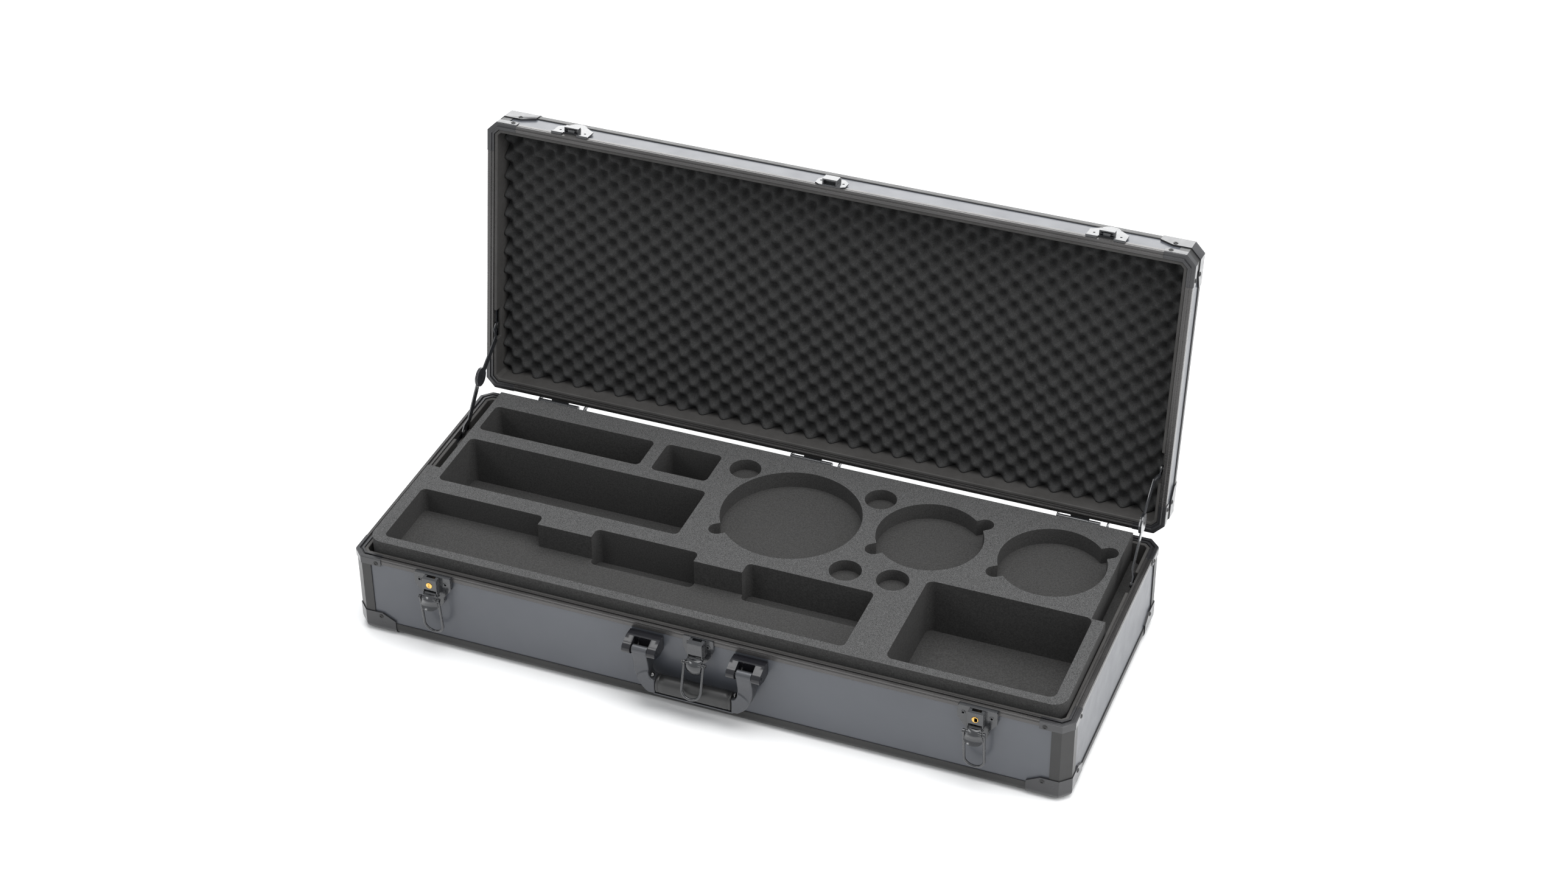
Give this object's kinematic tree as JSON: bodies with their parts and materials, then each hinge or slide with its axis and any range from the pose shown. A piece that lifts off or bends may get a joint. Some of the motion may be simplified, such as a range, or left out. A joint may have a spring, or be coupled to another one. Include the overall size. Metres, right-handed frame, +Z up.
{
  "type": "hard equipment case",
  "caption": "Long aluminium-framed hard case with an open hinged lid, chamfered corners, latches, a drop handle, folding stays and a cut foam tray.",
  "frame": {"origin": "centre of the case outline, on the plane that the corner fittings rest on", "axes": "+X along the front to the right as seen from the latch side, +Y from the front to the hinge side, +Z up"},
  "size_m": [0.8036, 0.4531, 0.433],
  "materials": {
    "laminate": "satin, fine grain",
    "frame_rail": "black anodised, satin",
    "corner_fitting": "satin black",
    "hardware": "gloss black",
    "handle_arm": "satin dark metallic",
    "bracket": "gloss black",
    "pin": "bright",
    "liner": "soft closed-cell foam sheet",
    "foam": "open-cell foam",
    "grip": "matt",
    "lock": "polished"
  },
  "bodies": {
    "base": {"base_bottom_panel": "laminate", "base_front_panel": "laminate", "base_rear_panel": "laminate", "base_left_panel": "laminate", "base_right_panel": "laminate", "base_long_rim_rails": "frame_rail", "base_short_rim_rails": "frame_rail", "base_long_edge_rails": "frame_rail", "base_short_edge_rails": "frame_rail", "base_corner_posts": "frame_rail", "base_rim_corners": "corner_fitting", "base_ball_corners": "corner_fitting", "base_rivets": "hardware", "base_liner": "liner", "foam_tray": "foam", "foam_floor_pad": "foam", "hinge_base_leaves": "hardware", "pivot_pins": "pin", "left_latch_plate": "hardware", "centre_latch_plate": "hardware", "right_latch_plate": "hardware", "left_latch_housing": "hardware", "centre_latch_housing": "hardware", "right_latch_housing": "hardware", "handle_brackets": "bracket"},
    "lid": {"lid_top_panel": "laminate", "lid_front_panel": "laminate", "lid_rear_panel": "laminate", "lid_left_panel": "laminate", "lid_right_panel": "laminate", "lid_long_rim_rails": "frame_rail", "lid_short_rim_rails": "frame_rail", "lid_long_edge_rails": "frame_rail", "lid_short_edge_rails": "frame_rail", "lid_corner_posts": "frame_rail", "lid_rim_corners": "corner_fitting", "lid_ball_corners": "corner_fitting", "lid_rivets": "hardware", "lid_liner": "liner", "lid_foam": "foam", "hinge_lid_leaves": "hardware", "side_strikes": "hardware", "centre_strike": "hardware"},
    "handle": {"handle_frame": "handle_arm", "handle_grip": "grip"},
    "left_lever": {"left_lever": "hardware"},
    "centre_lever": {"centre_lever": "hardware", "centre_bail_axle": "pin"},
    "right_lever": {"right_lever": "hardware"},
    "left_bail": {"left_bail": "hardware"},
    "centre_bail": {"centre_bail": "hardware"},
    "right_bail": {"right_bail": "hardware"},
    "left_lock_cylinder": {"left_lock_cylinder": "lock"},
    "right_lock_cylinder": {"right_lock_cylinder": "lock"},
    "left_stay_lower_arm": {"left_stay_lower_arm": "hardware"},
    "left_stay_upper_arm": {"left_stay_upper_arm": "hardware"},
    "right_stay_lower_arm": {"right_stay_lower_arm": "hardware"},
    "right_stay_upper_arm": {"right_stay_upper_arm": "hardware"}
  },
  "joints": [
    {"name": "lid_hinge", "type": "hinge", "parent": "base", "child": "lid", "pos_m": [0, 0.1663, 0.101], "axis": [1, 0, 0], "range_deg": [0, 98.84]},
    {"name": "handle_swing", "type": "hinge", "parent": "base", "child": "handle", "pos_m": [0, -0.181, 0.082], "axis": [-1, 0, 0], "range_deg": [0, 95]},
    {"name": "left_lever_lift", "type": "hinge", "parent": "base", "child": "left_lever", "pos_m": [-0.303, -0.1715, 0.08], "axis": [-1, 0, 0], "range_deg": [0, 75]},
    {"name": "left_bail_swing", "type": "hinge", "parent": "left_lever", "child": "left_bail", "pos_m": [-0.303, -0.1765, 0.0765], "axis": [1, 0, 0], "range_deg": [-160, 0]},
    {"name": "left_lock_turn", "type": "hinge", "parent": "base", "child": "left_lock_cylinder", "pos_m": [-0.303, -0.172, 0.0924], "axis": [0, -1, 0], "range_deg": [0, 90]},
    {"name": "left_stay_lower_pivot", "type": "hinge", "parent": "base", "child": "left_stay_lower_arm", "pos_m": [-0.3901, 0.086, 0.0955], "axis": [1, 0, 0], "range_deg": [0, 126]},
    {"name": "left_stay_upper_pivot", "type": "hinge", "parent": "lid", "child": "left_stay_upper_arm", "pos_m": [-0.3901, 0.18407, 0.1795], "axis": [-1, 0, 0], "range_deg": [0, 126]},
    {"name": "right_lever_lift", "type": "hinge", "parent": "base", "child": "right_lever", "pos_m": [0.303, -0.1715, 0.08], "axis": [-1, 0, 0], "range_deg": [0, 75]},
    {"name": "right_bail_swing", "type": "hinge", "parent": "right_lever", "child": "right_bail", "pos_m": [0.303, -0.1765, 0.0765], "axis": [1, 0, 0], "range_deg": [-160, 0]},
    {"name": "right_lock_turn", "type": "hinge", "parent": "base", "child": "right_lock_cylinder", "pos_m": [0.303, -0.172, 0.0924], "axis": [0, -1, 0], "range_deg": [0, 90]},
    {"name": "right_stay_lower_pivot", "type": "hinge", "parent": "base", "child": "right_stay_lower_arm", "pos_m": [0.3901, 0.086, 0.0955], "axis": [1, 0, 0], "range_deg": [0, 126]},
    {"name": "right_stay_upper_pivot", "type": "hinge", "parent": "lid", "child": "right_stay_upper_arm", "pos_m": [0.3901, 0.18407, 0.1795], "axis": [-1, 0, 0], "range_deg": [0, 126]},
    {"name": "centre_lever_lift", "type": "hinge", "parent": "base", "child": "centre_lever", "pos_m": [0, -0.1715, 0.08], "axis": [-1, 0, 0], "range_deg": [0, 75]},
    {"name": "centre_bail_swing", "type": "hinge", "parent": "centre_lever", "child": "centre_bail", "pos_m": [0, -0.1765, 0.0765], "axis": [-1, 0, 0], "range_deg": [0, 157]}
  ],
  "couplings": [
    {"joint": "centre_bail_swing", "follows": "handle_swing", "ratio": 0.97},
    {"joint": "left_stay_lower_pivot", "follows": "lid_hinge", "ratio": 1.2747},
    {"joint": "left_stay_upper_pivot", "follows": "lid_hinge", "ratio": 1.2747},
    {"joint": "right_stay_lower_pivot", "follows": "lid_hinge", "ratio": 1.2747},
    {"joint": "right_stay_upper_pivot", "follows": "lid_hinge", "ratio": 1.2747}
  ]
}
